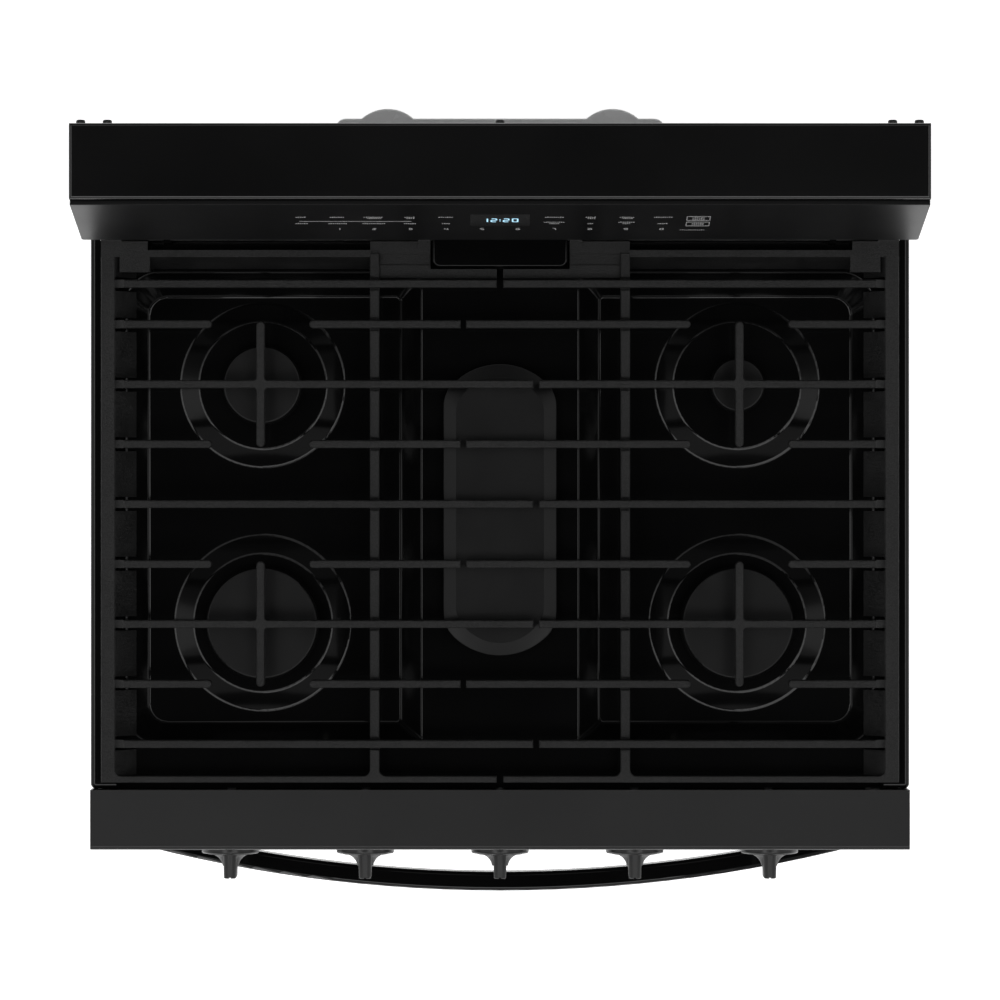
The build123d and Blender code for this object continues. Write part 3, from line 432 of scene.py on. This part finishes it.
def makeLabels(look):
    words = bmesh.new()
    tall = look["wordHeight"]
    for index, column in enumerate(look["columns"]):
        x = column * printPitch
        wide = look["shortest"] + look["longer"] * ((index * 7) % 3)
        addWord(words, (x, look["topRow"] + look["raised"]), wide, tall, index)
        if index % 4 in (2, 3):
            addWord(words, (x + 0.0008, look["topRow"] - look["lowered"]), wide * 0.8, tall, index + 1)
        lowerWide = wide * (1.25 if index < 4 else 0.6)
        addWord(words, (x, look["lowerRow"]), lowerWide, look["lowerHeight"], index + 2)
        if index in (5, 7):
            above = (x, look["lowerRow"] + look["secondLine"])
            addWord(words, above, wide * 1.1, look["raised"], index)
    lineSize = (look["lineLength"] * printPitch, look["lineWidth"], inkThick)
    addSlab(words, (look["lineMiddle"] * printPitch, look["lineRow"], 0), lineSize)

    digit = look["digit"]
    for place, number in enumerate("1234567890"):
        centre = ((place - 4.5) * printPitch, look["digitRow"])
        addDigit(words, number, centre, digit["width"], digit["height"], digit["stroke"], inkThick)

    frameLook = look["frame"]
    x, wide, high = frameLook["column"] * printPitch, frameLook["wide"], frameLook["tall"]
    for row in look["frameRows"]:
        for edge in (-1, 1):
            addSlab(words, (x, row + edge * high / 2, 0), (wide, frameLook["flat"], inkThick))
            addSlab(words, (x + edge * wide / 2, row, 0), (frameLook["upright"], high, inkThick))
            addWord(words, (x, row + edge * look["raised"]), wide * 0.6, look["raised"], edge + 2)
    small = look["small"]
    addWord(words, (small["column"] * printPitch, look["smallRow"]), small["wide"], small["tall"], 1)
    bmesh.ops.transform(words, matrix=facePlane(inkThick / 2), verts=words.verts[:])
    finishPiece(words, "touchLabels", printInk("panelInk", (0.5, 0.5, 0.5)), "range_body")


makeLabels(touchLabels)

clockFace = {
    "row": 0.0857,
    "figures": {-0.0135: "1", -0.0055: "2", 0.0055: "2", 0.0135: "0"},
    "digit": {"width": 0.0045, "height": 0.013, "stroke": 0.0014},
    "dotRise": 0.003,
    "dot": (0.0012, 0.0018, inkThick),
    "pane": (0.053, 0.05, inkThick * 0.5),
    "glow": 1.1,
}


def makeClock(look):
    clock = bmesh.new()
    row, digit = look["row"], look["digit"]
    for x, number in look["figures"].items():
        addDigit(clock, number, (x, row), digit["width"], digit["height"], digit["stroke"], inkThick)
    for side in (-1, 1):
        addSlab(clock, (0, row + side * look["dotRise"], 0), look["dot"])
    bmesh.ops.transform(clock, matrix=facePlane(inkThick * 0.9), verts=clock.verts[:])
    glow = printInk("clockGlow", (0.35, 0.6, 0.75), look["glow"])
    finishPiece(clock, "clockDigits", glow, "range_body")

    pane = bmesh.new()
    addSlab(pane, (0, row, 0), look["pane"])
    bmesh.ops.transform(pane, matrix=facePlane(inkThick * 0.25), verts=pane.verts[:])
    dark = satinSteel("clockPane", (0.0035, 0.0035, 0.0038), (0.08, 0.14))
    finishPiece(pane, "clockWindow", dark, "range_body")


makeClock(clockFace)
print("touch face printed")

knobDial = {
    "ticks": 9,
    "sweep": 240.0,
    "radius": 0.0325,
    "tickLength": 0.003,
    "tickWidth": 0.0008,
    "growth": 0.0003,
    "thick": 0.00015,
    "signHeight": 0.0405,
    "signHalf": (0.0026, 0.002),
    "dot": 0.0016,
}


def makeKnobMarks(look):
    # a dial of ticks round each knob, and four dots above it
    marks = bmesh.new()
    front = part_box("control_panel")[0][1]
    halfWide, halfTall = look["signHalf"]
    for number in range(1, 6):
        low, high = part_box("knob_%d" % number)
        x, z = (low[0] + high[0]) / 2, (low[2] + high[2]) / 2
        face = Matrix.Translation((x, front - look["thick"] / 2, z)) @ Matrix.Rotation(math.pi / 2, 4, "X")
        dial = bmesh.new()
        for tick in range(look["ticks"]):
            angle = math.radians(90 - look["sweep"] * tick / (look["ticks"] - 1))
            wide = look["tickWidth"] + look["growth"] * tick / look["ticks"]
            spot = (look["radius"] * math.cos(angle), look["radius"] * math.sin(angle), 0)
            addSlab(dial, spot, (look["tickLength"], wide, look["thick"]), angle)
        for column in (-1, 1):
            for row in (-1, 1):
                spot = (column * halfWide, look["signHeight"] + row * halfTall, 0)
                addSlab(dial, spot, (look["dot"], look["dot"], look["thick"]))
        pourInto(marks, dial, face)
    finishPiece(marks, "knobMarks", printInk("dialInk", (0.42, 0.42, 0.42)), "range_body")


makeKnobMarks(knobDial)
print("knob marks done")

screwLook = {
    "head": 0.0042,
    "crown": 0.62,
    "rise": 0.0016,
    "slot": 0.0011,
    "sunk": 0.4,
    "segments": 20,
    "sides": {"margin": 0.012, "start": 0.04, "step": 0.148, "count": 6},
    "bottom": {"start": -0.24, "rise": 0.012, "step": 0.16, "count": 4},
}


def makeScrews(look):
    # screws along the back panel's edges, with a sunk crown
    screws = bmesh.new()
    low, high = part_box("back_panel")
    sides, bottom = look["sides"], look["bottom"]
    places = [(side * (high[0] - sides["margin"]), low[2] + sides["start"] + step * sides["step"])
              for side in (-1, 1) for step in range(sides["count"])]
    places += [(bottom["start"] + step * bottom["step"], low[2] + bottom["rise"])
               for step in range(bottom["count"])]
    for x, z in places:
        head = bmesh.new()
        bmesh.ops.create_cone(head, cap_ends=True, segments=look["segments"], radius1=look["head"],
                              radius2=look["head"] * look["crown"], depth=look["rise"])
        crown = [face for face in head.faces if face.normal.z > 0.9]
        bmesh.ops.inset_individual(head, faces=crown, thickness=look["slot"], depth=0.0)
        sunk = list({vert for face in crown for vert in face.verts})
        bmesh.ops.translate(head, verts=sunk, vec=(0, 0, -look["rise"] * look["sunk"]))
        place = Matrix.Translation((x, high[1] + look["rise"] / 2, z)) @ Matrix.Rotation(-math.pi / 2, 4, "X")
        pourInto(screws, head, place)
    finishPiece(screws, "backPanelScrews", finishes["stainless"], "range_body")


makeScrews(screwLook)
print("screws done")

floorLook = {"half": 14.0, "glow": 0.8, "roughness": 0.9, "grain": 1.5}


def makeFloor(look):
    mesh = bmesh.new()
    bmesh.ops.create_grid(mesh, x_segments=4, y_segments=4, size=look["half"])
    data = bpy.data.meshes.new("floor")
    mesh.to_mesh(data)
    mesh.free()
    floor = bpy.data.objects.new("floor", data)
    bpy.context.collection.objects.link(floor)
    paint = Paint("paleFloor", Roughness=look["roughness"], Specular_IOR_Level=0.1,
                  Emission_Color=(1.0, 1.0, 1.0, 1.0), Emission_Strength=look["glow"])
    faint = paint.noise(look["grain"], 3.0)
    paint.feed("Base Color", paint.blend(faint, (0.9, 0.9, 0.9), (0.93, 0.93, 0.93)))
    data.materials.append(paint.material)


skyLook = {
    "zenith": 0.985,
    "ring": 0.95,
    "fade": 0.93,
    "horizon": 0.82,
    "dim": 0.88,
    "front": -0.05,
    "back": 0.25,
    "shade": 0.72,
    "level": 3.2,
}


def makeWorld(look):
    # a bright ring round a dark zenith, dimmer behind and near the horizon
    world = bpy.data.worlds.new("studio")
    bpy.context.scene.world = world
    world.use_nodes = True
    world.node_tree.nodes.clear()
    sky = Nodes(world.node_tree)
    ray = sky.node("ShaderNodeTexCoord", out="Generated")
    depth = sky.node("ShaderNodeSeparateXYZ", None, {"Vector": ray}, "Y")
    height = Wire(sky, depth.socket.node.outputs["Z"])

    def ease(wire, start, end):
        return sky.node("ShaderNodeMapRange", {"interpolation_type": "SMOOTHSTEP"},
                        {"Value": wire, "From Min": look[start], "From Max": look[end]})

    ring = ease(height, "zenith", "ring")
    low = ease(height, "fade", "horizon")
    rear = ease(depth, "front", "back")
    strength = ring * (1 - low * look["dim"]) * (1 - rear * look["shade"]) * look["level"]
    glow = sky.node("ShaderNodeBackground", None, {"Color": (1, 1, 1, 1), "Strength": strength})
    output = world.node_tree.nodes.new("ShaderNodeOutputWorld")
    world.node_tree.links.new(glow.socket, output.inputs["Surface"])


softboxes = {
    "frontSoftbox": {"place": (0.0, -3.4, 2.6), "size": (3.0, 1.4), "power": 10.0},
    "leftSoftbox": {"place": (-3.4, -0.4, 2.6), "size": (1.4, 3.0), "power": 8.0},
    "rightSoftbox": {"place": (3.4, -0.4, 2.6), "size": (1.4, 3.0), "power": 8.0},
}
softboxTarget = Vector((0, 0, 0.9))


def addSoftbox(name, look):
    lamp = bpy.data.lights.new(name, "AREA")
    lamp.shape = "RECTANGLE"
    lamp.size, lamp.size_y = look["size"]
    lamp.energy = look["power"]
    box = bpy.data.objects.new(name, lamp)
    box.location = look["place"]
    box.rotation_euler = (softboxTarget - Vector(look["place"])).to_track_quat("-Z", "Y").to_euler()
    bpy.context.collection.objects.link(box)


cameraLook = {"height": 6.1964, "behind": 0.0072, "lens": 204.98, "sensor": 36.0}


def makeCamera(look):
    # it looks straight down, with the range's front at the bottom of the view
    data = bpy.data.cameras.new("camera")
    data.lens = look["lens"]
    data.sensor_width = look["sensor"]
    data.clip_end = 60.0
    camera = bpy.data.objects.new("camera", data)
    camera.location = (0, look["behind"], look["height"])
    bpy.context.collection.objects.link(camera)
    bpy.context.scene.camera = camera


makeFloor(floorLook)
makeWorld(skyLook)
for name, look in softboxes.items():
    addSoftbox(name, look)
makeCamera(cameraLook)
bpy.context.scene.view_settings.view_transform = "Standard"
print("stage, light and camera ready")
